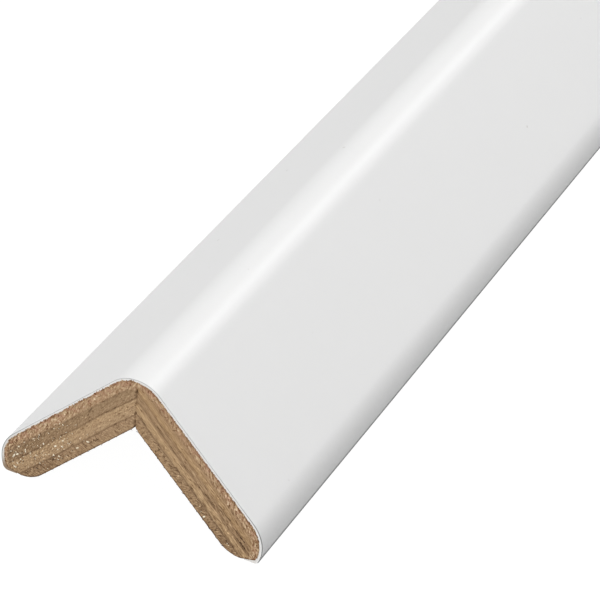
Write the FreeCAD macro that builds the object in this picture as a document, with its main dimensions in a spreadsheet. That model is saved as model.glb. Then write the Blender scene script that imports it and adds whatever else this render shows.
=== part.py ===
import FreeCAD, Part
import math
import os

import Sketcher

# Corner guard moulding: a plywood strip folded to a right angle and wrapped in white foil.
# It lies on its two slanting feet, ridge up, with its length along Y and the floor at Z = 0.
# Each section is drawn for the leg on the +X side, from the mitre plane (X = 0) to the foot
# (Z = 0), then carried to the full length and mirrored into the other leg.

DIMENSIONS = [
    ("stock_length", 1000.0, "sawn length"),
    ("leg_width", 28.0, "sharp outer corner to the tip of each leg, over the foil"),
    ("board_thickness", 6.2, "outer face of the foil to the inner face"),
    ("foil_thickness", 0.4, "white foil"),
    ("corner_radius", 4.4, "rounded outer corner, over the foil"),
    ("edge_radius", 5.0, "rounded outer long edges, over the foil"),
    ("nose_depth", 3.4, "how far the tip lies behind the outer face"),
    ("lip_radius", 4.0, "rounding between the foot and the inner face"),
]

doc = FreeCAD.newDocument("corner_guard")
sheet = doc.addObject("Spreadsheet::Sheet", "dimensions")
for row, (alias, number, meaning) in enumerate(DIMENSIONS, start=1):
    sheet.set(f"A{row}", meaning)
    sheet.set(f"B{row}", str(number))
    sheet.setAlias(f"B{row}", alias)
doc.recompute()

size = {alias: number for alias, number, meaning in DIMENSIONS}

# Where the centres of the two outer roundings lie, seen along the length.
CORNER_HEIGHT = "(dimensions.leg_width + dimensions.nose_depth) / sqrt(2)"
RIDGE_CENTRE_Z = f"{CORNER_HEIGHT} - dimensions.corner_radius * sqrt(2)"
EDGE_DROP = "dimensions.edge_radius - dimensions.nose_depth"
EDGE_START = f"dimensions.leg_width - sqrt(dimensions.edge_radius ^ 2 - ({EDGE_DROP}) ^ 2)"
EDGE_CENTRE_X = f"({EDGE_START} - dimensions.edge_radius) / sqrt(2)"

corner_height = (size["leg_width"] + size["nose_depth"]) / math.sqrt(2)
edge_drop = size["edge_radius"] - size["nose_depth"]
edge_start = size["leg_width"] - math.sqrt(size["edge_radius"] ** 2 - edge_drop ** 2)
lip_start = size["leg_width"] + size["nose_depth"] - size["board_thickness"]
lip_start -= size["lip_radius"] * math.tan(math.radians(22.5))

START, END, CENTRE = 1, 2, 3
ORIGIN, FLOOR, MITRE = -1, -1, -2


def at(along, depth):
    """Point of the leg, by the distance along it from the sharp corner and the depth behind its face."""
    return FreeCAD.Vector((along - depth) / math.sqrt(2), corner_height - (along + depth) / math.sqrt(2), 0)


def line(sketch, first, last):
    return sketch.addGeometry(Part.LineSegment(first, last), False)


def rounding(sketch, centre, radius, first_deg, last_deg):
    circle = Part.Circle(centre, FreeCAD.Vector(0, 0, 1), radius)
    return sketch.addGeometry(Part.ArcOfCircle(circle, math.radians(first_deg), math.radians(last_deg)), False)


def foot_angle(centre, radius):
    """Direction, in degrees, from a rounding's centre to where it meets the floor on its outer side."""
    return -math.degrees(math.asin(centre.y / radius))


def new_section(body, name):
    sketch = body.newObject("Sketcher::SketchObject", name)
    plane = [f for f in body.Origin.OriginFeatures if f.Role == "XZ_Plane"][0]
    sketch.AttachmentSupport = [(plane, "")]
    sketch.MapMode = "FlatFace"
    return sketch


def size_constraint(sketch, name, constraint, expression):
    index = sketch.addConstraint(constraint)
    sketch.renameConstraint(index, name)
    sketch.setExpression(f"Constraints.{name}", expression)


def place_roundings(sketch, ridge, face, edge):
    """The ridge rounding sits on the mitre plane, and the face slopes from it to the long edge's rounding."""
    ridge_centre = sketch.getPoint(ridge, CENTRE)
    edge_centre = sketch.getPoint(edge, CENTRE)
    sketch.addConstraint(Sketcher.Constraint("PointOnObject", ridge, CENTRE, MITRE))
    sketch.addConstraint(Sketcher.Constraint("Angle", face, math.radians(-45)))
    size_constraint(sketch, "ridge_centre_z",
                    Sketcher.Constraint("DistanceY", ORIGIN, START, ridge, CENTRE, ridge_centre.y),
                    RIDGE_CENTRE_Z)
    size_constraint(sketch, "edge_centre_x",
                    Sketcher.Constraint("DistanceX", ORIGIN, START, edge, CENTRE, edge_centre.x),
                    EDGE_CENTRE_X)


def radius_constraint(sketch, name, arc, expression):
    size_constraint(sketch, name, Sketcher.Constraint("Radius", arc, sketch.Geometry[arc].Radius), expression)


def run_to_length(body, sketch):
    """Carry the half section to the full length and mirror it into the other leg."""
    pad = body.newObject("PartDesign::Pad", f"{body.Name}_leg")
    pad.Profile = sketch
    pad.SideType = "Symmetric"
    pad.setExpression("Length", "dimensions.stock_length")
    mirror = body.newObject("PartDesign::Mirrored", f"{body.Name}_legs")
    mirror.Originals = [pad]
    mirror.MirrorPlane = (sketch, ["V_Axis"])
    body.Tip = mirror


def make_core():
    body = doc.addObject("PartDesign::Body", "wood_core")
    body.Label = "wood_core"
    sketch = new_section(body, "core_section")
    skin = size["foil_thickness"]
    ridge_radius = size["corner_radius"] - skin
    edge_radius = size["edge_radius"] - skin
    ridge_centre = at(size["corner_radius"], size["corner_radius"])
    edge_centre = at(edge_start, size["edge_radius"])
    lip_centre = at(lip_start, size["board_thickness"] - size["lip_radius"])
    ridge = rounding(sketch, ridge_centre, ridge_radius, 45, 90)
    face = line(sketch, at(size["corner_radius"], skin), at(edge_start, skin))
    edge = rounding(sketch, edge_centre, edge_radius, foot_angle(edge_centre, edge_radius), 45)
    foot = line(sketch, sketch.getPoint(edge, START), FreeCAD.Vector(lip_centre.x, 0, 0))
    lip = rounding(sketch, lip_centre, size["lip_radius"], 225, 270)
    inner_corner = at(size["board_thickness"], size["board_thickness"])
    back = line(sketch, at(lip_start, size["board_thickness"]), inner_corner)
    mitre = line(sketch, inner_corner, sketch.getPoint(ridge, END))
    sketch.addConstraint([
        Sketcher.Constraint("Tangent", ridge, START, face, START),
        Sketcher.Constraint("Tangent", face, END, edge, END),
        Sketcher.Constraint("Coincident", edge, START, foot, START),
        Sketcher.Constraint("Tangent", foot, END, lip, END),
        Sketcher.Constraint("Tangent", lip, START, back, START),
        Sketcher.Constraint("Coincident", back, END, mitre, START),
        Sketcher.Constraint("Coincident", mitre, END, ridge, END),
        Sketcher.Constraint("PointOnObject", mitre, START, MITRE),
        Sketcher.Constraint("PointOnObject", mitre, END, MITRE),
        Sketcher.Constraint("PointOnObject", foot, START, FLOOR),
        Sketcher.Constraint("PointOnObject", foot, END, FLOOR),
        Sketcher.Constraint("Parallel", face, back),
    ])
    place_roundings(sketch, ridge, face, edge)
    radius_constraint(sketch, "ridge_radius", ridge, "dimensions.corner_radius - dimensions.foil_thickness")
    radius_constraint(sketch, "edge_radius", edge, "dimensions.edge_radius - dimensions.foil_thickness")
    radius_constraint(sketch, "lip_radius", lip, "dimensions.lip_radius")
    size_constraint(sketch, "wood_thickness",
                    Sketcher.Constraint("Distance", back, END, face, size["board_thickness"] - skin),
                    "dimensions.board_thickness - dimensions.foil_thickness")
    run_to_length(body, sketch)
    return body


def make_foil():
    body = doc.addObject("PartDesign::Body", "white_foil")
    body.Label = "white_foil"
    sketch = new_section(body, "foil_section")
    skin = size["foil_thickness"]
    ridge_centre = at(size["corner_radius"], size["corner_radius"])
    edge_centre = at(edge_start, size["edge_radius"])
    ridges, faces, edges = [], [], []
    for depth in (0.0, skin):
        edge_radius = size["edge_radius"] - depth
        ridges.append(rounding(sketch, ridge_centre, size["corner_radius"] - depth, 45, 90))
        faces.append(line(sketch, at(size["corner_radius"], depth), at(edge_start, depth)))
        edges.append(rounding(sketch, edge_centre, edge_radius, foot_angle(edge_centre, edge_radius), 45))
    foot = line(sketch, sketch.getPoint(edges[0], START), sketch.getPoint(edges[1], START))
    mitre = line(sketch, sketch.getPoint(ridges[1], END), sketch.getPoint(ridges[0], END))
    for ridge, face, edge in zip(ridges, faces, edges):
        sketch.addConstraint(Sketcher.Constraint("Tangent", ridge, START, face, START))
        sketch.addConstraint(Sketcher.Constraint("Tangent", face, END, edge, END))
    sketch.addConstraint([
        Sketcher.Constraint("Coincident", edges[0], START, foot, START),
        Sketcher.Constraint("Coincident", edges[1], START, foot, END),
        Sketcher.Constraint("Coincident", ridges[1], END, mitre, START),
        Sketcher.Constraint("Coincident", ridges[0], END, mitre, END),
        Sketcher.Constraint("Coincident", ridges[0], CENTRE, ridges[1], CENTRE),
        Sketcher.Constraint("Coincident", edges[0], CENTRE, edges[1], CENTRE),
        Sketcher.Constraint("PointOnObject", mitre, START, MITRE),
        Sketcher.Constraint("PointOnObject", mitre, END, MITRE),
        Sketcher.Constraint("PointOnObject", foot, START, FLOOR),
        Sketcher.Constraint("PointOnObject", foot, END, FLOOR),
    ])
    place_roundings(sketch, ridges[0], faces[0], edges[0])
    radius_constraint(sketch, "ridge_outside", ridges[0], "dimensions.corner_radius")
    radius_constraint(sketch, "ridge_inside", ridges[1], "dimensions.corner_radius - dimensions.foil_thickness")
    radius_constraint(sketch, "edge_outside", edges[0], "dimensions.edge_radius")
    radius_constraint(sketch, "edge_inside", edges[1], "dimensions.edge_radius - dimensions.foil_thickness")
    run_to_length(body, sketch)
    return body


bodies = [make_core(), make_foil()]
doc.recompute()

for item in doc.Objects:
    if "Invalid" in item.State or "Error" in item.State:
        raise RuntimeError(f"{item.Label} did not rebuild")
for body in bodies:
    if body.Shape.isNull() or not body.Shape.isValid():
        raise RuntimeError(f"{body.Label} has no valid solid")

os.makedirs("parts", exist_ok=True)
for body in bodies:
    body.Shape.exportStep(f"parts/{body.Label}.step")
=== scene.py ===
import math

import bmesh
import bpy
import numpy as np
from mathutils import Euler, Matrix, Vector


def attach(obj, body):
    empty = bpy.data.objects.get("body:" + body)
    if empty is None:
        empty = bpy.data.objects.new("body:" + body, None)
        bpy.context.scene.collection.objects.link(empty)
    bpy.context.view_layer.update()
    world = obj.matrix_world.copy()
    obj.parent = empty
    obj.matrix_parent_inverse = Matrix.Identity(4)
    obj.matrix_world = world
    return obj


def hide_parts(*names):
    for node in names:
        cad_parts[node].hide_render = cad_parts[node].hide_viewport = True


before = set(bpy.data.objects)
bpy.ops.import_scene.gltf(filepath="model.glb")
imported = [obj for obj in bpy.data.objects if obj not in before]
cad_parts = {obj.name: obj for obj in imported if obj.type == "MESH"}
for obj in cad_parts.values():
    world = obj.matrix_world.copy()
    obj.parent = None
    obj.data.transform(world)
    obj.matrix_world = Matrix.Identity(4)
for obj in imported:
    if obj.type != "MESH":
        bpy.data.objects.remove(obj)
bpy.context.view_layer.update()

# Sizes of the moulding, in millimetres. It lies on its two feet with the ridge up, its length along Y.
LENGTH = 1000.0
LEG_WIDTH = 28.0
BOARD_THICKNESS = 6.2
FOIL_THICKNESS = 0.4
CORNER_RADIUS = 4.4
EDGE_RADIUS = 5.0
NOSE_DEPTH = 3.4
LIP_RADIUS = 4.0

# The tips: extra foil thickness, rounding at the foot, tuck under it, and how steeply the wood's foot rises.
TIP_SWELL = 0.10
FOOT_RADIUS = 0.8
FOIL_TUCK = 1.2
FOOT_RISE = 0.23

# The ends, which are pieces of their own: thickness of the core's slice and of the foil's cut edge.
CORE_SLICE = 1.5
FOIL_SLICE = 0.6

# How finely the outlines are divided, and the angle from which an edge is sharp.
FOIL_FINENESS = 5
CUT_FINENESS = 4
CORE_FINENESS = 2
CUT_COLUMNS = 230
CUT_ROWS = 48
CORE_COLUMNS = 60
SHARP_ANGLE_DEG = 25.0

# What the saw left: relief, chips per square millimetre, and splinters along the outer and inner outlines.
CUT_RELIEF = 0.05
GRAIN_DENSITY = 5.0
FLECK_DENSITY = 2.8
OUTER_SPLINTERS = {"Reach": 0.36, "Pitch": 0.28, "Flip": -1.0}
INNER_SPLINTERS = {"Reach": 0.06, "Pitch": 1.3, "Flip": 1.0}
SPLINTER_INSET = 0.03
SPLINTER_LIFT = 0.01
NEAR_SEED = 11
FAR_SEED = 29

MM = 0.001
ROOT_TWO = math.sqrt(2)
CORNER_HEIGHT = (LEG_WIDTH + NOSE_DEPTH) / ROOT_TWO
EDGE_START = LEG_WIDTH - math.sqrt(EDGE_RADIUS ** 2 - (EDGE_RADIUS - NOSE_DEPTH) ** 2)
LIP_START = LEG_WIDTH + NOSE_DEPTH - BOARD_THICKNESS - LIP_RADIUS * math.tan(math.radians(22.5))
FOOT_START = (LIP_START - BOARD_THICKNESS + LIP_RADIUS) / ROOT_TWO


def at(along, depth):
    """Section point (x, z) of the +X leg, by distance along it and depth behind its outer face."""
    return ((along - depth) / ROOT_TWO, CORNER_HEIGHT - (along + depth) / ROOT_TWO)


def arc(centre, radius, first_deg, last_deg, steps):
    """Points along an arc, both ends included."""
    angles = np.radians(np.linspace(first_deg, last_deg, steps + 1))
    return [(centre[0] + radius * math.cos(w), centre[1] + radius * math.sin(w)) for w in angles]


def outer_outline(skin, fine):
    """Half outline from the ridge round the tip to the foot, that far inside the foil's outer face.
    The foil is a little thicker at the tip."""
    ridge = arc(at(CORNER_RADIUS, CORNER_RADIUS), CORNER_RADIUS - skin, 90, 45, 8 * fine)
    edge = at(EDGE_START - (TIP_SWELL if skin else 0.0), EDGE_RADIUS)
    rise = edge[1] - FOOT_RADIUS
    foot = (edge[0] + math.sqrt((EDGE_RADIUS - FOOT_RADIUS) ** 2 - rise ** 2), FOOT_RADIUS)
    turn_deg = -math.degrees(math.atan2(rise, foot[0] - edge[0]))
    return (ridge + arc(edge, EDGE_RADIUS - skin, 45, turn_deg, 10 * fine)
            + arc(foot, FOOT_RADIUS - skin, turn_deg, -90, 4 * fine)[1:])


def tucked(outline):
    """The outline carried on under the foot, as far as the foil is tucked in."""
    x, z = outline[-1]
    return outline + [(x - FOIL_TUCK, z * (1 - FOIL_TUCK / (x - FOOT_START)))]


def inner_outline(fine):
    """Half outline from the inner corner to the foot's inner edge."""
    lip = arc(at(LIP_START, BOARD_THICKNESS - LIP_RADIUS), LIP_RADIUS, 225, 270, 8 * fine)
    return [at(BOARD_THICKNESS, BOARD_THICKNESS)] + lip


def spaced(points, count):
    """The outline cut into equal lengths."""
    points = np.array(points)
    steps = np.r_[0, np.cumsum(np.linalg.norm(np.diff(points, axis=0), axis=1))]
    wanted = np.linspace(0, steps[-1], count + 1)
    return np.column_stack([np.interp(wanted, steps, points[:, k]) for k in range(2)])


def both_legs(half):
    """A half outline that starts on the mitre plane, mirrored so that it runs from foot to foot."""
    half = np.array(half)
    return np.vstack([half[:0:-1] * (-1, 1), half])


def new_object(name, points, faces, edges=()):
    """A new mesh object in the scene."""
    mesh = bpy.data.meshes.new(name)
    mesh.from_pydata([tuple(p) for p in points], list(edges), [tuple(f) for f in faces])
    mesh.update()
    made = bpy.data.objects.new(name, mesh)
    bpy.context.scene.collection.objects.link(made)
    return made


class Net:
    """Short ways to add nodes to a material or a geometry tree."""

    def __init__(self, tree):
        self.tree = tree

    def node(self, kind, **settings):
        made = self.tree.nodes.new(kind)
        for key, value in settings.items():
            setattr(made, key, value)
        return made

    def feed(self, socket, value):
        """Links a socket, or sets its number."""
        if isinstance(value, bpy.types.NodeSocket):
            self.tree.links.new(value, socket)
        else:
            socket.default_value = value

    def math(self, operation, *values):
        made = self.node("ShaderNodeMath", operation=operation)
        for socket, value in zip(made.inputs, values):
            self.feed(socket, value)
        return made.outputs[0]

    def chain(self, operation, first, *others):
        for other in others:
            first = self.math(operation, first, other)
        return first

    def add(self, *values):
        return self.chain("ADD", *values)

    def times(self, *values):
        return self.chain("MULTIPLY", *values)

    def less(self, value, taken):
        return self.math("SUBTRACT", value, taken)

    def rest(self, share):
        """What a share leaves of 1."""
        return self.less(1.0, share)

    def swing(self, noise):
        """A noise about 0 instead of about a half."""
        return self.less(noise, 0.5)

    def step(self, value, low, high):
        """0 at low, 1 at high, smooth between."""
        made = self.node("ShaderNodeMapRange", interpolation_type="SMOOTHSTEP")
        for socket, number in zip(made.inputs, (value, low, high, 0.0, 1.0)):
            self.feed(socket, number)
        return made.outputs[0]

    def fall(self, value, low, high):
        """1 at low, 0 at high, smooth between."""
        return self.rest(self.step(value, low, high))

    def vector(self, x, y, z):
        made = self.node("ShaderNodeCombineXYZ")
        for socket, value in zip(made.inputs, (x, y, z)):
            self.feed(socket, value)
        return made.outputs[0]

    def noise(self, vector, scale=1.0, detail=2.0, roughness=0.5):
        made = self.node("ShaderNodeTexNoise", noise_dimensions="3D")
        self.feed(made.inputs["Vector"], vector)
        made.inputs["Scale"].default_value = scale
        made.inputs["Detail"].default_value = detail
        made.inputs["Roughness"].default_value = roughness
        return made.outputs[0]

    def blend(self, share, first, second):
        """The first number, giving way to the second as the share grows."""
        made = self.node("ShaderNodeMix", data_type="FLOAT")
        for socket, value in zip((made.inputs[0], made.inputs[2], made.inputs[3]), (share, first, second)):
            self.feed(socket, value)
        return made.outputs[0]

    def paint(self, share, under, over, mode="MIX"):
        """The colour under, covered by the colour over as the share grows."""
        made = self.node("ShaderNodeMix", data_type="RGBA", blend_type=mode)
        for socket, value in zip((made.inputs[0], made.inputs[6], made.inputs[7]), (share, under, over)):
            self.feed(socket, value)
        return made.outputs[2]

    def ramp(self, value, stops):
        made = self.node("ShaderNodeValToRGB")
        self.feed(made.inputs[0], value)
        points = made.color_ramp.elements
        while len(points) < len(stops):
            points.new(0.5)
        for point, (place, colour) in zip(points, stops):
            point.position = place
            point.color = colour
        return made.outputs[0]


def linear(red, green, blue):
    """Scene colour of a colour given as 0 to 255 display values."""
    def one(value):
        value /= 255
        return value / 12.92 if value <= 0.04045 else ((value + 0.055) / 1.055) ** 2.4
    return (one(red), one(green), one(blue), 1.0)


# Colours of the plies at a saw cut, by depth in millimetres behind the outer face.
LEFT_PLIES = [
    (1.30, (171, 141, 109)), (1.62, (136, 110, 83)), (1.84, (148, 122, 92)), (2.86, (154, 127, 97)),
    (3.00, (130, 104, 76)), (3.18, (168, 140, 107)), (3.40, (173, 144, 110)), (4.64, (168, 140, 108)),
    (4.78, (128, 102, 75)), (4.96, (158, 130, 100)), (5.85, (160, 132, 101)),
]
RIGHT_PLIES = [
    (0.95, (169, 138, 107)), (1.50, (156, 127, 96)), (1.72, (167, 137, 103)), (2.38, (176, 145, 107)),
    (2.62, (152, 123, 91)), (2.84, (161, 132, 100)), (3.02, (166, 137, 104)), (3.26, (160, 131, 99)),
    (3.50, (141, 114, 85)), (3.74, (176, 146, 111)), (4.04, (182, 152, 115)), (4.40, (178, 148, 112)),
    (4.62, (162, 134, 101)), (4.80, (132, 106, 79)), (5.00, (159, 131, 100)), (5.80, (160, 131, 99)),
]
RIM_DARK = linear(152, 121, 91)
RIM_PALE = linear(190, 162, 128)
RIM_RED = linear(167, 129, 102)
FIBRE_TAN = linear(196, 168, 128)
FIBRE_CREAM = linear(255, 249, 228)

# Colours of the foil, the dust and painted shade on it, and its cut edge.
FOIL_WHITE = (0.80, 0.80, 0.797, 1.0)
FOIL_WHITE_MOTTLED = (0.82, 0.82, 0.817, 1.0)
DUST = (0.5, 0.48, 0.45, 1.0)
FOOT_PAINTED_SHADE = (0.16, 0.16, 0.16, 1.0)
SAWDUST = (0.58, 0.53, 0.46, 1.0)
# Dark brown for the bottom of the left leg's cut edge.
LEFT_FOOT_BROWN = (0.24, 0.155, 0.085, 1.0)
RIM_GREY = (0.32, 0.335, 0.33, 1.0)
# Grey of the rim at the right tip, darkened as painted shade.
TIP_RIM_GREY_AND_SHADE = (0.15, 0.155, 0.15, 1.0)

# Depths in millimetres between which one ply gives way to the next.
CROSS_PLIES_START = (1.5, 1.8)
SLIT_PLY_START = (2.45, 2.7)
SLIT_PLY_END = (3.65, 3.9)
INNER_PLY_START = (4.62, 4.88)

# Slant of the strokes in the outer and the inner plies, as cosine and sine.
OUTER_SLANT = (0.91, 0.41)
INNER_SLANT = (0.86, 0.50)

# How far apart the two legs' patterns are taken from, and how slowly they change along the length.
LEG_SHIFT = 37.0
LENGTH_SHARE = 0.03

# How open the glued mitre is, by depth in millimetres: a broken line of short dark notches.
MITRE_NOTCHES = [
    (1.95, 0.0), (2.30, 0.9), (2.50, 1.0), (2.72, 0.25), (2.95, 0.7), (3.15, 0.1), (3.48, 0.05),
    (3.64, 0.9), (3.82, 0.05), (4.45, 0.15), (4.66, 0.9), (4.90, 0.3), (5.35, 0.35), (5.65, 1.0),
    (5.85, 0.6), (6.15, 1.0),
]


def leg_fields(net, position):
    """Where a point is in its leg, in millimetres: along it, behind its outer face, to the side of the
    mitre, along the length, above the floor, behind the rounded outline, in front of the bare inner outline,
    and behind the nearer cut. Right is 1 in the right leg."""
    parts = net.node("ShaderNodeSeparateXYZ")
    net.feed(parts.inputs[0], position)
    x, y, z = (net.times(parts.outputs[k], 1 / MM) for k in range(3))
    drop = net.less(CORNER_HEIGHT, z)
    aside = net.math("ABSOLUTE", x)
    along = net.times(net.add(drop, aside), 1 / ROOT_TWO)
    depth = net.times(net.less(drop, aside), 1 / ROOT_TWO)

    def rounded_off(past, inside):
        """How much a rounding takes off, by the way past its start and the way in from its centre."""
        past, inside = net.math("MAXIMUM", past, 0.0), net.math("MAXIMUM", inside, 0.0)
        reach = net.math("SQRT", net.add(net.times(past, past), net.times(inside, inside)))
        return net.less(reach, inside)

    ridge = rounded_off(net.less(CORNER_RADIUS, along), net.less(CORNER_RADIUS, depth))
    edge = rounded_off(net.less(along, EDGE_START), net.less(EDGE_RADIUS, depth))
    lip = rounded_off(net.less(along, LIP_START), net.less(depth, BOARD_THICKNESS - LIP_RADIUS))
    foot = net.times(net.math("MAXIMUM", net.less(aside, FOOT_START), 0.0), FOOT_RISE)
    bare_face = net.less(net.less(BOARD_THICKNESS, depth), lip)
    return {
        "along": along,
        "depth": depth,
        "aside": aside,
        "length": y,
        "height": z,
        "skin": net.less(depth, net.add(ridge, edge)),
        "rear": net.math("MINIMUM", net.less(z, foot), bare_face),
        "cut": net.less(LENGTH / 2, net.math("ABSOLUTE", y)),
        "right": net.math("GREATER_THAN", x, 0.0),
    }


def ply_fields(net, leg):
    """The patterns that a saw cut shows: wandering plies, a rim and an inner ply with slanting strokes,
    grain, pores, long slits and the notched mitre. Streaky is 1 in the right leg's cross plies."""
    right = leg["right"]
    depth = leg["depth"]
    length = net.times(leg["length"], LENGTH_SHARE)
    along = net.add(leg["along"], net.times(right, LEG_SHIFT))

    # The plies wander slowly with a quick ripple, and run a little aslant in the right leg.
    slow = net.noise(net.vector(net.times(along, 0.16), length, 3.0), 1.0, 1.0)
    quick = net.noise(net.vector(net.times(along, 1.1), net.times(length, 2.0), 9.0), 1.0, 2.0)
    aslant = net.times(net.less(16.0, leg["along"]), right, 0.016)
    wander = net.add(net.times(net.swing(slow), net.blend(right, 0.45, 0.3)),
                     net.times(net.swing(quick), 0.22))
    ply_depth = net.add(aslant, wander, depth)
    inner = net.step(ply_depth, *INNER_PLY_START)

    # Granular specks, and strokes that slant one way in the outer plies and the other way in the inner one.
    specks = net.noise(net.vector(along, depth, length), 3.2, 2.0, 0.6)
    cosine, sine = OUTER_SLANT
    outer_run = net.add(net.times(along, cosine), net.times(depth, sine))
    outer_across = net.less(net.times(depth, cosine), net.times(along, sine))
    cosine, sine = INNER_SLANT
    inner_run = net.less(net.times(depth, cosine), net.times(along, sine))
    inner_across = net.add(net.times(along, cosine), net.times(depth, sine))
    run = net.blend(inner, outer_run, inner_run)
    across = net.blend(inner, outer_across, inner_across)
    strokes = net.noise(net.vector(net.times(run, 1.1), net.times(across, 4.2), length), 1.0, 2.0)
    rough = net.blend(0.6, specks, strokes)

    def drawn_out(coarse, fine, layer, shift, detail):
        """A noise drawn out along the leg."""
        place = net.vector(net.times(along, coarse), net.times(layer, fine), net.add(length, shift))
        return net.noise(place, 1.0, detail)

    # Fine lines along the leg, dark pores between them, and patches that differ in colour.
    line_place = net.vector(net.times(along, 0.6), net.times(ply_depth, 5.5), net.times(leg["length"], 0.2))
    lines = net.noise(line_place, 1.0, 3.0, 0.6)
    streaks = drawn_out(0.75, 7.5, ply_depth, 20.0, 1.0)
    open_plies = net.add(0.45, net.times(net.step(ply_depth, 2.45, 2.75), 0.55))
    pores = net.times(net.step(streaks, 0.60, 0.70), net.blend(right, 0.35, 1.0), open_plies)
    patches = drawn_out(0.9, 1.4, depth, 60.0, 1.0)

    # The rim under the foil has a ragged inner border. The cross plies lie between it and the inner ply.
    left_rim = net.blend(net.step(leg["along"], 17.0, 25.0), 1.55, 0.85)
    right_rim = net.blend(net.step(leg["along"], 9.0, 25.0), 1.1, 1.45)
    ragged = net.times(net.swing(specks), net.blend(right, 0.7, 1.3))
    rim_gap = net.less(net.add(leg["skin"], ragged), net.blend(right, left_rim, right_rim))
    rim = net.fall(rim_gap, -0.12, 0.12)
    cross = net.times(net.step(ply_depth, *CROSS_PLIES_START), net.rest(inner), net.rest(rim))
    streaky = net.times(cross, right)

    # Grit follows the strokes, or the leg in the streaky plies.
    grit_run = net.blend(streaky, run, net.times(along, 0.7))
    grit_across = net.blend(streaky, across, ply_depth)
    grit = net.noise(net.vector(net.times(grit_run, 2.4), net.times(grit_across, 8.5), length), 1.0, 1.0)

    # Long slits in one ply, most of them towards the tip of the right leg.
    splits = drawn_out(0.30, 6.5, ply_depth, 40.0, 0.0)
    slit_ply = net.times(net.step(ply_depth, *SLIT_PLY_START), net.fall(ply_depth, *SLIT_PLY_END),
                         net.add(0.35, net.times(net.step(leg["along"], 13.0, 19.0), 0.65)))
    slits = net.times(net.step(splits, 0.685, 0.705), slit_ply, net.blend(right, 0.3, 1.0))

    # The mitre's notches.
    notch_depth = net.times(net.add(depth, net.times(net.swing(quick), 0.2)), 1 / BOARD_THICKNESS)
    notch = net.ramp(notch_depth, [(q / BOARD_THICKNESS, (v, v, v, 1.0)) for q, v in MITRE_NOTCHES])
    mitre_gap = net.add(leg["aside"], net.times(net.swing(specks), 0.25))
    mitre = net.times(net.fall(mitre_gap, 0.05, 0.22), notch)
    return {
        "ply_depth": ply_depth, "inner": inner, "rim": rim, "cross": cross, "streaky": streaky,
        "rough": rough, "strokes": strokes, "lines": lines, "grit": grit, "patches": patches,
        "pores": pores, "slits": slits, "mitre": mitre,
    }


def new_material(name):
    """A new material, with the net of its nodes and its shader."""
    material = bpy.data.materials.new(name)
    material.use_nodes = True
    return material, Net(material.node_tree), material.node_tree.nodes["Principled BSDF"]


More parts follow.
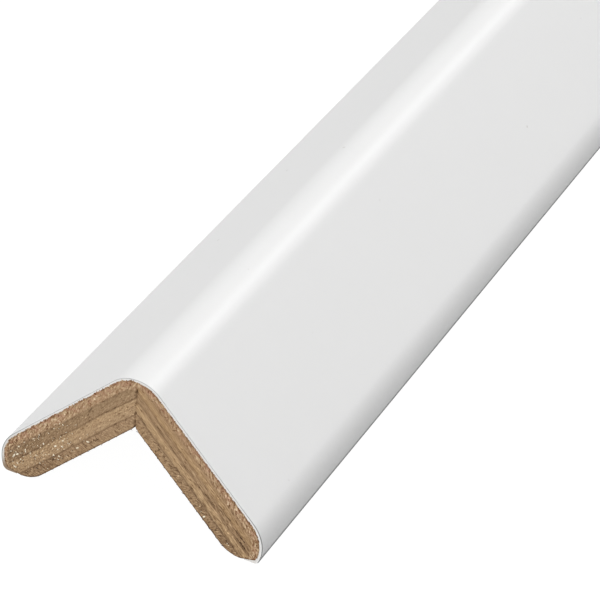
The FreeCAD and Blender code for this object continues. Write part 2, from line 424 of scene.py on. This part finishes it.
def raw_plywood():
    """Bare plywood, with its plies by depth and its grain along the leg or along the length."""
    material, net, shader = new_material("raw_plywood")
    leg = leg_fields(net, net.node("ShaderNodeTexCoord").outputs["Object"])
    ply = ply_fields(net, leg)
    right = leg["right"]
    share = net.times(ply["ply_depth"], 1 / BOARD_THICKNESS)

    def by_depth(plies):
        return net.ramp(share, [(q / BOARD_THICKNESS, linear(*colour)) for q, colour in plies])

    plies = net.paint(right, by_depth(LEFT_PLIES), by_depth(RIGHT_PLIES))
    rim = net.paint(net.step(ply["strokes"], 0.30, 0.70), RIM_DARK, RIM_PALE)
    near_foil = net.less(0.8, net.times(net.step(leg["skin"], 0.6, 1.4), 0.6))
    rim = net.paint(net.times(net.step(ply["patches"], 0.44, 0.60), near_foil), rim, RIM_RED)
    plies = net.paint(ply["rim"], plies, rim)

    # Grain and grit make it lighter and darker, more so towards the tip.
    tip = net.step(leg["along"], 8.0, 26.0)
    lined = net.times(ply["cross"], net.blend(right, 0.45, 0.9))
    grain = net.blend(lined, ply["rough"], ply["lines"])
    rim_calm = net.times(ply["rim"], net.blend(right, 0.8, 0.2))
    contrast = net.times(net.add(net.less(1.8, rim_calm), net.times(ply["inner"], 0.7)),
                         net.add(0.85, net.times(tip, 0.6)))
    light = net.add(1.0, net.times(net.swing(grain), contrast))
    gritty = net.times(net.add(1.0, net.times(tip, 1.4)), net.rest(net.times(ply["streaky"], 0.35)))
    light = net.add(light, net.times(net.swing(ply["grit"]), gritty))

    # What darkens it, and by how much.
    left_cross = net.less(ply["cross"], ply["streaky"])
    # Darker along the cut face's edges with the bare inner face and the foot's underside.
    bare_gap = net.add(leg["rear"], net.times(net.swing(ply["rough"]), 0.15))
    dark_parts = {
        "pores": net.times(ply["pores"], 0.46),
        "slits": net.times(ply["slits"], 0.72),
        "mitre": net.times(ply["mitre"], 0.72),
        "tip": net.times(tip, net.add(net.times(net.rest(ply["rim"]), 0.09), net.times(ply["inner"], 0.12))),
        "left_tip": net.times(tip, left_cross, net.fall(ply["ply_depth"], 3.0, 3.2), 0.07),
        "streaky_by_ridge": net.times(ply["streaky"], net.fall(leg["along"], 9.0, 15.0), 0.07),
        "streaky_by_tip": net.times(ply["streaky"], net.step(leg["along"], 18.0, 23.0), 0.05),
        "by_foil": net.times(net.fall(leg["skin"], 0.50, 0.75), net.blend(right, 0.06, 0.20)),
        "dark_inner_edge": net.times(net.fall(bare_gap, 0.02, 0.22), net.fall(leg["cut"], 0.05, 0.6), 0.55),
    }
    for part in dark_parts.values():
        light = net.times(light, net.rest(part))
    tone = net.node("ShaderNodeAttribute", attribute_name="tone").outputs["Fac"]
    light = net.math("MAXIMUM", net.times(light, net.add(1.0, tone)), 0.05)

    # Darker wood is also browner, and in the rim redder.
    shade = net.node("ShaderNodeCombineColor")
    net.feed(shade.inputs[0], light)
    net.feed(shade.inputs[1], net.math("POWER", light, net.add(1.15, net.times(ply["rim"], 0.15))))
    net.feed(shade.inputs[2], net.math("POWER", light, net.add(1.30, net.times(ply["rim"], 0.35))))
    net.feed(shader.inputs["Base Color"], net.paint(1.0, plies, shade.outputs[0], "MULTIPLY"))
    net.feed(shader.inputs["Roughness"], net.add(0.72, net.times(grain, 0.2)))
    shader.inputs["Specular IOR Level"].default_value = 0.25
    bump = net.node("ShaderNodeBump")
    bump.inputs["Strength"].default_value = 0.5
    bump.inputs["Distance"].default_value = 0.00006
    net.feed(bump.inputs["Height"], net.less(grain, ply["pores"]))
    net.feed(shader.inputs["Normal"], bump.outputs[0])
    return material


def pale_fibre():
    """Cream fibre ends that catch the light."""
    material, net, shader = new_material("pale_fibre")
    cloud = net.noise(net.node("ShaderNodeTexCoord").outputs["Object"], 9000.0, 2.0)
    tone = net.node("ShaderNodeAttribute", attribute_name="tone").outputs["Fac"]
    net.feed(shader.inputs["Base Color"], net.paint(tone, FIBRE_TAN, FIBRE_CREAM))
    net.feed(shader.inputs["Roughness"], net.add(0.4, net.times(cloud, 0.3)))
    shader.inputs["Specular IOR Level"].default_value = 0.25
    return material


def satin_white_foil():
    """White satin foil: an even colour with a faint mottle, fine dust specks, a slight orange peel and a
    dull line of painted contact shade low on its long edges. Its cut edge is dusty, with a thin grey line
    at the outer rim that is darker at the right tip as painted shade, and darker brown towards the bottom
    of the left foot."""
    material, net, shader = new_material("satin_white_foil")
    place = net.node("ShaderNodeTexCoord").outputs["Object"]
    leg = leg_fields(net, place)
    right = leg["right"]
    mottle = net.noise(place, 90.0, 3.0)
    dust = net.step(net.noise(place, 700.0, 1.0), 0.79, 0.83)
    white = net.paint(mottle, FOIL_WHITE, FOIL_WHITE_MOTTLED)
    white = net.paint(net.times(dust, 0.4), white, DUST)

    at_cut = net.fall(leg["cut"], 0.02, 0.07)
    # Painted shade: a dark grey line low on the long edges, where the foil meets the floor, with a duller
    # finish there too.
    painted_foot_shade = net.times(net.step(leg["height"], 0.03, 0.2), net.fall(leg["height"], 0.6, 1.7),
                          net.rest(at_cut))
    white = net.paint(net.times(painted_foot_shade, 0.85), white, FOOT_PAINTED_SHADE)

    # The cut edge.
    tip = net.step(leg["along"], 19.0, 26.0)
    right_tip = net.times(tip, right)
    left_tip = net.less(tip, right_tip)
    sawdust = net.add(0.15, net.times(net.step(leg["skin"], 0.1, 0.4), net.noise(place, 2500.0, 2.0)))
    sawdust = net.times(sawdust, net.rest(net.times(right_tip, 0.5)))
    sawdust = net.add(sawdust, net.times(left_tip, 0.2))
    white = net.paint(net.times(at_cut, sawdust), white, SAWDUST)
    # Darker brown towards the bottom of the left leg's cut edge.
    left_foot_dark = net.times(net.fall(leg["height"], 0.5, 2.4), net.rest(right))
    white = net.paint(net.times(at_cut, left_foot_dark, 0.92), white, LEFT_FOOT_BROWN)
    # Grey line at the outer rim of the cut; at the right tip it is darker, painted shade of the outer face
    # turning away.
    rim_width = net.add(0.06, net.add(net.times(right_tip, 0.03), net.times(left_tip, 0.06)))
    rim_line = net.fall(leg["skin"], rim_width, net.add(rim_width, 0.05))
    rim_share = net.add(net.blend(right, 0.6, 0.65), net.times(tip, 0.3))
    rim_line = net.times(net.times(at_cut, rim_line), net.times(rim_share, net.rest(left_foot_dark)))
    white = net.paint(rim_line, white, net.paint(right_tip, RIM_GREY, TIP_RIM_GREY_AND_SHADE))

    net.feed(shader.inputs["Base Color"], white)
    net.feed(shader.inputs["Roughness"], net.add(0.37, net.times(mottle, 0.08), net.times(painted_foot_shade, 0.55)))
    shader.inputs["Specular IOR Level"].default_value = 0.4
    bump = net.node("ShaderNodeBump")
    bump.inputs["Strength"].default_value = 0.05
    bump.inputs["Distance"].default_value = 0.0002
    net.feed(bump.inputs["Height"], net.noise(place, 900.0, 2.0))
    net.feed(shader.inputs["Normal"], bump.outputs[0])
    return material


PLYWOOD = raw_plywood()
FOIL = satin_white_foil()
PALE_FIBRE = pale_fibre()


def new_tree(name, numbers, seeded=False):
    """An empty geometry tree with named number inputs, and a seed if it has random parts."""
    tree = bpy.data.node_groups.new(name, "GeometryNodeTree")
    tree.interface.new_socket("Geometry", in_out="INPUT", socket_type="NodeSocketGeometry")
    for label in numbers:
        tree.interface.new_socket(label, in_out="INPUT", socket_type="NodeSocketFloat")
    if seeded:
        tree.interface.new_socket("Seed", in_out="INPUT", socket_type="NodeSocketInt")
    tree.interface.new_socket("Geometry", in_out="OUTPUT", socket_type="NodeSocketGeometry")
    return tree, Net(tree), tree.nodes.new("NodeGroupInput"), tree.nodes.new("NodeGroupOutput")


def run_tree(piece, tree, values):
    """Runs a tree on a piece with those inputs, and leaves its result as the piece's plain mesh."""
    modifier = piece.modifiers.new(tree.name, "NODES")
    modifier.node_group = tree
    sockets = {s.name: s.identifier for s in tree.interface.items_tree if s.in_out == "INPUT"}
    for label, value in values.items():
        modifier[sockets[label]] = value
    bpy.context.view_layer.update()
    graph = bpy.context.evaluated_depsgraph_get()
    mesh = bpy.data.meshes.new_from_object(piece.evaluated_get(graph), depsgraph=graph)
    piece.modifiers.remove(modifier)
    piece.data = mesh
    mesh.set_sharp_from_angle(angle=math.radians(SHARP_ANGLE_DEG))
    return piece


def finish_tree(net, result, geometry, material):
    """Ends a tree: everything is made real mesh and given its material."""
    real = net.node("GeometryNodeRealizeInstances")
    net.feed(real.inputs[0], geometry)
    finish = net.node("GeometryNodeSetMaterial")
    net.feed(finish.inputs[0], real.outputs[0])
    finish.inputs["Material"].default_value = material
    net.feed(result.inputs[0], finish.outputs[0])


def carried_section_tree(material):
    """Carries a flat section along the length into a closed bar."""
    tree, net, given, result = new_tree("carried_section", ["Start", "Length"])
    start = net.node("GeometryNodeTransform")
    net.feed(start.inputs["Geometry"], given.outputs["Geometry"])
    net.feed(start.inputs["Translation"], net.vector(0.0, given.outputs["Start"], 0.0))
    carry = net.node("GeometryNodeExtrudeMesh", mode="FACES")
    net.feed(carry.inputs["Mesh"], start.outputs[0])
    net.feed(carry.inputs["Offset"], net.vector(0.0, 1.0, 0.0))
    net.feed(carry.inputs["Offset Scale"], given.outputs["Length"])
    carry.inputs["Individual"].default_value = False
    near = net.node("GeometryNodeFlipFaces")
    net.feed(near.inputs[0], start.outputs[0])
    joined = net.node("GeometryNodeJoinGeometry")
    net.feed(joined.inputs[0], carry.outputs[0])
    net.feed(joined.inputs[0], near.outputs[0])
    merged = net.node("GeometryNodeMergeByDistance")
    net.feed(merged.inputs["Geometry"], joined.outputs[0])
    merged.inputs["Distance"].default_value = 1e-6
    smooth = net.node("GeometryNodeSetShadeSmooth")
    net.feed(smooth.inputs[0], merged.outputs[0])
    finish_tree(net, result, smooth.outputs[0], material)
    return tree


def strip(name, first, second, start, length, material):
    """A bar between two outlines that run from foot to foot, with quads across its section."""
    count = len(first)
    points = [(x * MM, 0.0, z * MM) for x, z in (*first, *second)]
    faces = [(k, k + 1, count + k + 1, count + k) for k in range(count - 1)]
    piece = new_object(name, points, faces)
    return run_tree(piece, carried_section_tree(material), {"Start": start * MM, "Length": length * MM})


def foil_strip(name, start, length):
    """A stretch of the foil, wrapped round both legs."""
    outer = both_legs(tucked(outer_outline(0.0, FOIL_FINENESS)))
    inner = both_legs(tucked(outer_outline(FOIL_THICKNESS, FOIL_FINENESS)))
    return strip(name, outer, inner, start, length, FOIL)


def cut_face(net, given, position):
    """1 on the cut face, 0 elsewhere on the slice."""
    place = net.node("ShaderNodeSeparateXYZ")
    net.feed(place.inputs[0], position)
    off = net.math("ABSOLUTE", net.less(place.outputs[1], given.outputs["Face"]))
    return net.math("LESS_THAN", off, 0.3 * MM)


def facing_out(net, given):
    """1 where a face looks the way that the cut looks."""
    facing = net.node("ShaderNodeSeparateXYZ")
    net.feed(facing.inputs[0], net.node("GeometryNodeInputNormal").outputs[0])
    return net.math("GREATER_THAN", net.times(facing.outputs[1], given.outputs["Outward"]), 0.3)


def rough_saw_cut_tree():
    """Roughens the cut face of a slice: a granular rim, grain, open pores and the mitre's notches."""
    tree, net, given, result = new_tree("rough_saw_cut", ["Relief", "Face", "Outward"])
    position = net.node("GeometryNodeInputPosition").outputs[0]
    ply = ply_fields(net, leg_fields(net, position))
    coarse = net.times(net.swing(ply["rough"]), net.blend(ply["rim"], 3.0, 2.0))
    fine = net.times(net.swing(ply["lines"]), 1.5)
    sunk = net.add(net.times(ply["slits"], 3.0), net.times(ply["mitre"], 4.0), ply["pores"])
    level = net.less(net.blend(ply["cross"], coarse, fine), sunk)
    move = net.times(net.times(level, given.outputs["Relief"]),
                     net.times(cut_face(net, given, position), given.outputs["Outward"]))
    shift = net.node("GeometryNodeSetPosition")
    net.feed(shift.inputs["Geometry"], given.outputs["Geometry"])
    net.feed(shift.inputs["Offset"], net.vector(0.0, net.times(move, MM), 0.0))
    smooth = net.node("GeometryNodeSetShadeSmooth")
    net.feed(smooth.inputs[0], shift.outputs[0])
    finish_tree(net, result, smooth.outputs[0], PLYWOOD)
    return tree


def random_number(net, given, low, high, order):
    """A number of each chip's own. The order keeps a chip's several numbers apart."""
    made = net.node("FunctionNodeRandomValue", data_type="FLOAT")
    made.inputs[2].default_value = low
    made.inputs[3].default_value = high
    net.feed(made.inputs["Seed"], net.add(given.outputs["Seed"], float(order)))
    return made.outputs[1]


def set_out(net, result, points, chip, turn, size, tone, material, where=True):
    """Sets a chip on the points, turned and sized, each with its own tone, and makes them one mesh."""
    store = net.node("GeometryNodeStoreNamedAttribute", data_type="FLOAT", domain="POINT")
    net.feed(store.inputs["Geometry"], points)
    store.inputs["Name"].default_value = "tone"
    net.feed(store.inputs["Value"], tone)
    place = net.node("GeometryNodeInstanceOnPoints")
    net.feed(place.inputs["Points"], store.outputs[0])
    net.feed(place.inputs["Selection"], where)
    net.feed(place.inputs["Instance"], chip)
    net.feed(place.inputs["Rotation"], turn)
    net.feed(place.inputs["Scale"], size)
    finish_tree(net, result, place.outputs[0], material)


def splinter(net):
    """A four-sided splinter, one unit long, wide and high."""
    cone = net.node("GeometryNodeMeshCone")
    cone.inputs["Vertices"].default_value = 4
    cone.inputs["Radius Top"].default_value = 0.0
    cone.inputs["Radius Bottom"].default_value = 0.5
    cone.inputs["Depth"].default_value = 1.0
    return cone.outputs[0]


def turned(net, up, forward, angle):
    """A turn that sets Z along up and X along forward, then spins about Z by an angle."""
    axes = net.node("FunctionNodeAxesToRotation", primary_axis="Z", secondary_axis="X")
    net.feed(axes.inputs[0], up)
    net.feed(axes.inputs[1], forward)
    spin = net.node("FunctionNodeAxisAngleToRotation")
    spin.inputs["Axis"].default_value = (0.0, 0.0, 1.0)
    net.feed(spin.inputs["Angle"], angle)
    both = net.node("FunctionNodeRotateRotation", rotation_space="LOCAL")
    net.feed(both.inputs[0], axes.outputs[0])
    net.feed(both.inputs[1], spin.outputs[0])
    return both.outputs[0]


def scatter(net, given, position, density):
    """Points on the cut face, so many per square millimetre."""
    spread = net.node("GeometryNodeDistributePointsOnFaces", distribute_method="RANDOM")
    net.feed(spread.inputs["Mesh"], given.outputs["Geometry"])
    on_cut = net.times(cut_face(net, given, position), facing_out(net, given))
    net.feed(spread.inputs["Selection"], on_cut)
    net.feed(spread.inputs["Density"], net.times(density, 1 / MM ** 2))
    net.feed(spread.inputs["Seed"], given.outputs["Seed"])
    return spread.outputs["Points"]


def torn_grain_tree():
    """Short splinters that the saw tore up, along the leg in the cross plies and every way in the others."""
    tree, net, given, result = new_tree("torn_grain", ["Density", "Face", "Outward"], True)
    position = net.node("GeometryNodeInputPosition").outputs[0]
    leg = leg_fields(net, position)
    ply = ply_fields(net, leg)
    inside = net.times(net.step(leg["rear"], 0.25, 0.35), net.step(leg["skin"], 0.55, 0.65),
                       net.step(leg["height"], 0.5, 0.7))
    thin_out = net.less(net.blend(ply["cross"], 1.0, 0.6), net.times(ply["streaky"], 0.4))
    points = scatter(net, given, position, net.times(given.outputs["Density"], inside, thin_out))
    way = net.vector(net.less(net.times(leg["right"], 2.0), 1.0), 0.0, -1.0)
    angle = net.times(random_number(net, given, -1.0, 1.0, 1), net.blend(ply["cross"], 1.5, 0.25))
    turn = turned(net, net.vector(0.0, given.outputs["Outward"], 0.0), way, angle)
    long = random_number(net, given, 0.3 * MM, 0.9 * MM, 2)
    wide = random_number(net, given, 0.10 * MM, 0.24 * MM, 3)
    high = random_number(net, given, 0.04 * MM, 0.12 * MM, 4)
    tone = random_number(net, given, -0.5, 0.5, 5)
    set_out(net, result, points, splinter(net), turn, net.vector(long, wide, high), tone, PLYWOOD)
    return tree


def torn_edge_tree():
    """Dark splinters along an outline, that the saw pushed out past the edge of the wood. They are shorter
    on the right leg."""
    tree, net, given, result = new_tree("torn_edge", ["Pitch", "Reach", "Flip"], True)
    curve = net.node("GeometryNodeMeshToCurve")
    net.feed(curve.inputs["Mesh"], given.outputs["Geometry"])
    even = net.node("GeometryNodeResampleCurve", mode="LENGTH")
    net.feed(even.inputs["Curve"], curve.outputs[0])
    net.feed(even.inputs["Length"], net.times(given.outputs["Pitch"], MM))
    leg = leg_fields(net, net.node("GeometryNodeInputPosition").outputs[0])
    tangent = net.node("GeometryNodeInputTangent").outputs[0]
    cross = net.node("ShaderNodeVectorMath", operation="CROSS_PRODUCT")
    net.feed(cross.inputs[0], net.vector(0.0, given.outputs["Flip"], 0.0))
    net.feed(cross.inputs[1], tangent)
    lean = net.node("ShaderNodeVectorMath", operation="MULTIPLY_ADD")
    net.feed(lean.inputs[0], tangent)
    sway = random_number(net, given, -0.7, 0.7, 1)
    net.feed(lean.inputs[1], net.vector(sway, sway, sway))
    net.feed(lean.inputs[2], cross.outputs[0])
    turn = turned(net, lean.outputs[0], tangent, 0.0)
    left_reach = net.rest(net.times(net.step(leg["along"], 15.0, 24.0), 0.35))
    reach = net.times(given.outputs["Reach"], net.blend(leg["right"], left_reach, 0.45), MM)
    wide = random_number(net, given, 0.3 * MM, 0.7 * MM, 2)
    thick = random_number(net, given, 0.06 * MM, 0.14 * MM, 3)
    high = net.times(reach, random_number(net, given, 0.3, 1.0, 4))
    tone = random_number(net, given, -0.55, 0.1, 5)
    clear = net.math("GREATER_THAN", leg["height"], 0.8)
    set_out(net, result, even.outputs[0], splinter(net), turn, net.vector(wide, thick, high), tone,
            PLYWOOD, clear)
    return tree


def bright_fleck_tree():
    """Cream fibre ends, most of them in the outer half of the left leg."""
    tree, net, given, result = new_tree("bright_flecks", ["Density", "Face", "Outward"], True)
    position = net.node("GeometryNodeInputPosition").outputs[0]
    leg = leg_fields(net, position)
    clear = net.times(net.step(leg["rear"], 0.3, 0.5), net.step(leg["skin"], 1.2, 1.6))
    left = net.times(net.step(leg["along"], 11.0, 17.0), clear,
                     net.rest(net.times(net.step(leg["depth"], 4.5, 4.9), 0.6)))
    right = net.times(net.times(net.step(leg["along"], 15.0, 18.0), net.step(leg["depth"], 4.7, 5.1)),
                      net.times(clear, 0.3))
    density = net.times(given.outputs["Density"], net.blend(leg["right"], left, right))
    points = scatter(net, given, position, density)
    ball = net.node("GeometryNodeMeshIcoSphere")
    ball.inputs["Radius"].default_value = 1.0
    ball.inputs["Subdivisions"].default_value = 1
    turn = turned(net, net.vector(0.0, given.outputs["Outward"], 0.0), net.vector(1.0, 0.0, 0.0),
                  random_number(net, given, 0.0, 6.0, 1))
    chance = random_number(net, given, 0.0, 1.0, 2)
    width = net.times(net.add(0.05, net.times(net.math("POWER", chance, 4.0), 0.10)), MM)
    size = net.vector(net.times(width, random_number(net, given, 1.0, 2.2, 3)), width, 0.1 * MM)
    tone = random_number(net, given, 0.4, 1.0, 4)
    set_out(net, result, points, ball.outputs[0], turn, size, tone, PALE_FIBRE)
    return tree


def sawn_slice(name, face, outward):
    """The last slice of the core, with a fine grid on its cut face."""
    outer = both_legs(spaced(outer_outline(FOIL_THICKNESS, CUT_FINENESS), CUT_COLUMNS))
    inner = both_legs(spaced(inner_outline(CUT_FINENESS), CUT_COLUMNS))
    across, rows = len(outer), CUT_ROWS
    points, faces = [], []
    for row in range(rows + 1):
        for x, z in outer + (inner - outer) * (row / rows):
            points.append((x * MM, face * MM, z * MM))
    for row in range(rows):
        for k in range(across - 1):
            a = row * across + k
            faces.append((a, a + 1, a + across + 1, a + across))

    # The sides, round the rim of the grid.
    rim = list(range(across))
    rim += [row * across + across - 1 for row in range(1, rows + 1)]
    rim += [rows * across + k for k in range(across - 2, -1, -1)]
    rim += [row * across for row in range(rows - 1, 0, -1)]
    back, total = len(points), len(rim)
    for k in rim:
        x, _, z = points[k]
        points.append((x, (face - outward * CORE_SLICE) * MM, z))
    for k in range(total):
        following = (k + 1) % total
        faces.append((rim[k], back + k, back + following, rim[following]))

    # The back: quads between the outlines, and a fan of triangles at each foot.
    right_foot = list(range(back + across - 2, back + across + rows + 1))
    left_foot = list(range(back + total - rows - 1, back + total)) + [back, back + 1]
    for first, *side, last in (right_foot, left_foot):
        middle = len(side) // 2
        faces += [(side[k], side[k + 1], first if k < middle else last) for k in range(len(side) - 1)]
        faces.append((first, side[middle], last))
    for k in range(1, across - 2):
        inner_k = back + 2 * across + rows - 2 - k
        faces.append((back + k, back + k + 1, inner_k - 1, inner_k))

    piece = new_object(name, points, faces)
    shape = bmesh.new()
    shape.from_mesh(piece.data)
    bmesh.ops.recalc_face_normals(shape, faces=shape.faces)
    shape.to_mesh(piece.data)
    shape.free()
    place = {"Face": face * MM, "Outward": outward}
    return run_tree(piece, rough_saw_cut_tree(), {**place, "Relief": CUT_RELIEF})


def sawn_end(name, face, outward, seed):
    """One end of the moulding: the cut slice, its torn grain, its bright flecks and its ragged edges."""
    cut = sawn_slice(name + "_sawn_end", face, outward)

    def on_cut(label, tree, density):
        piece = bpy.data.objects.new(name + label, cut.data.copy())
        bpy.context.scene.collection.objects.link(piece)
        place = {"Face": face * MM, "Outward": outward}
        return run_tree(piece, tree, {**place, "Density": density, "Seed": seed})

    def on_edge(label, outline, splinters):
        lift = outward * SPLINTER_LIFT
        points = [(x * MM, (face + lift) * MM, z * MM) for x, z in both_legs(outline)]
        edges = [(k, k + 1) for k in range(len(points) - 1)]
        piece = new_object(name + label, points, [], edges)
        return run_tree(piece, torn_edge_tree(), {**splinters, "Seed": seed})

    wood_edge = outer_outline(FOIL_THICKNESS + SPLINTER_INSET, CUT_FINENESS)
    bare_edge = inner_outline(CUT_FINENESS)
    return [
        cut,
        on_cut("_torn_grain", torn_grain_tree(), GRAIN_DENSITY),
        on_cut("_bright_flecks", bright_fleck_tree(), FLECK_DENSITY),
        on_edge("_torn_outer_edge", wood_edge, OUTER_SPLINTERS),
        on_edge("_torn_inner_edge", bare_edge, INNER_SPLINTERS),
    ]


NEAR_CUT = -LENGTH / 2
FAR_CUT = LENGTH / 2
foil_pieces = [
    foil_strip("foil_wrap", NEAR_CUT + FOIL_SLICE, LENGTH - 2 * FOIL_SLICE),
    foil_strip("near_foil_edge", NEAR_CUT, FOIL_SLICE),
    foil_strip("far_foil_edge", FAR_CUT - FOIL_SLICE, FOIL_SLICE),
]
core = strip("core_strip", both_legs(spaced(outer_outline(FOIL_THICKNESS, CORE_FINENESS), CORE_COLUMNS)),
             both_legs(spaced(inner_outline(CORE_FINENESS), CORE_COLUMNS)),
             NEAR_CUT + CORE_SLICE, LENGTH - 2 * CORE_SLICE, PLYWOOD)
ends = sawn_end("near", NEAR_CUT, -1.0, NEAR_SEED) + sawn_end("far", FAR_CUT, 1.0, FAR_SEED)

for piece, node, slot in ([(piece, "white_foil", "foil") for piece in foil_pieces]
                          + [(piece, "wood_core", "plywood") for piece in [core] + ends]):
    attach(piece, "root")
    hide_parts(node)

# The studio: sizes in metres, lamps in watts, angles in degrees.
FLOOR_REACH = 12.0
FLOOR_GREY = (0.35, 0.35, 0.35, 1.0)
FLOOR_SHADE = (0.12, 0.12, 0.12, 1.0)
FLOOR_GLOW = 0.975
ROOM_LIGHT = 0.11
VISIBLE_PART = (0.0, -0.44, 0.01)
SOFT_BOXES = [
    ("overhead_box", (0.0, -0.35, 1.6), 1.8, 1.8, 21.0),
    ("back_box", (0.78, 2.68, 2.71), 1.2, 0.9, 37.8),
    ("back_right_box", (2.03, 2.71, 1.918), 1.4, 1.225, 20.8),
    ("front_box", (0.1, -2.2, 0.45), 1.4, 0.6, 20.0),
    ("front_left_box", (-0.9, -1.9, 0.35), 0.8, 0.5, 5.2),
]
CAMERA_LENS = 191.52
CAMERA_SENSOR = 36.0
CAMERA_PLACE = (0.134422, -0.769832, 0.242844)
CAMERA_TURN_DEG = (55.1188, -4.5350, 26.2052)


def looked_at(net):
    """1 for what the camera sees, directly, in a reflection or through a clear piece."""
    path = net.node("ShaderNodeLightPath")
    mirrored = net.math("MAXIMUM", path.outputs["Is Glossy Ray"], path.outputs["Is Transmission Ray"])
    return net.math("MAXIMUM", path.outputs["Is Camera Ray"], mirrored)


def white_floor():
    """A large pale floor that looks white and keeps a faint shadow."""
    corners = [(-FLOOR_REACH, -FLOOR_REACH, 0), (FLOOR_REACH, -FLOOR_REACH, 0),
               (FLOOR_REACH, FLOOR_REACH, 0), (-FLOOR_REACH, FLOOR_REACH, 0)]
    floor = new_object("floor", corners, [(0, 1, 2, 3)])
    material = bpy.data.materials.new("pale_floor")
    material.use_nodes = True
    net = Net(material.node_tree)
    nodes = material.node_tree.nodes
    nodes.remove(nodes["Principled BSDF"])
    lit = net.node("ShaderNodeBsdfDiffuse")
    lit.inputs[0].default_value = FLOOR_GREY
    shaded = net.node("ShaderNodeBsdfDiffuse")
    shaded.inputs[0].default_value = FLOOR_SHADE
    glow = net.node("ShaderNodeEmission")
    glow.inputs["Strength"].default_value = FLOOR_GLOW
    seen = net.node("ShaderNodeAddShader")
    net.feed(seen.inputs[0], shaded.outputs[0])
    net.feed(seen.inputs[1], glow.outputs[0])
    mix = net.node("ShaderNodeMixShader")
    net.feed(mix.inputs[0], looked_at(net))
    net.feed(mix.inputs[1], lit.outputs[0])
    net.feed(mix.inputs[2], seen.outputs[0])
    net.feed(nodes["Material Output"].inputs["Surface"], mix.outputs[0])
    floor.data.materials.append(material)


def studio_world():
    """A white background that adds only a little light."""
    world = bpy.data.worlds.new("studio")
    bpy.context.scene.world = world
    world.use_nodes = True
    net = Net(world.node_tree)
    back = world.node_tree.nodes["Background"]
    back.inputs["Color"].default_value = (1.0, 1.0, 1.0, 1.0)
    net.feed(back.inputs["Strength"], net.blend(looked_at(net), ROOM_LIGHT, 1.0))


def soft_box(name, place, width, height, power):
    """A soft lamp that looks at the visible part of the moulding."""
    lamp = bpy.data.lights.new(name, "AREA")
    lamp.shape = "RECTANGLE"
    lamp.size = width
    lamp.size_y = height
    lamp.energy = power
    made = bpy.data.objects.new(name, lamp)
    made.location = place
    made.rotation_euler = (Vector(VISIBLE_PART) - Vector(place)).to_track_quat("-Z", "Y").to_euler()
    bpy.context.scene.collection.objects.link(made)


def photo_camera():
    """The camera, at the photograph's angle."""
    camera = bpy.data.objects.new("camera", bpy.data.cameras.new("camera"))
    camera.data.lens = CAMERA_LENS
    camera.data.sensor_width = CAMERA_SENSOR
    camera.location = CAMERA_PLACE
    camera.rotation_euler = Euler([math.radians(a) for a in CAMERA_TURN_DEG])
    bpy.context.scene.collection.objects.link(camera)
    bpy.context.scene.camera = camera


white_floor()
studio_world()
for box in SOFT_BOXES:
    soft_box(*box)
photo_camera()
bpy.context.scene.view_settings.view_transform = "Standard"
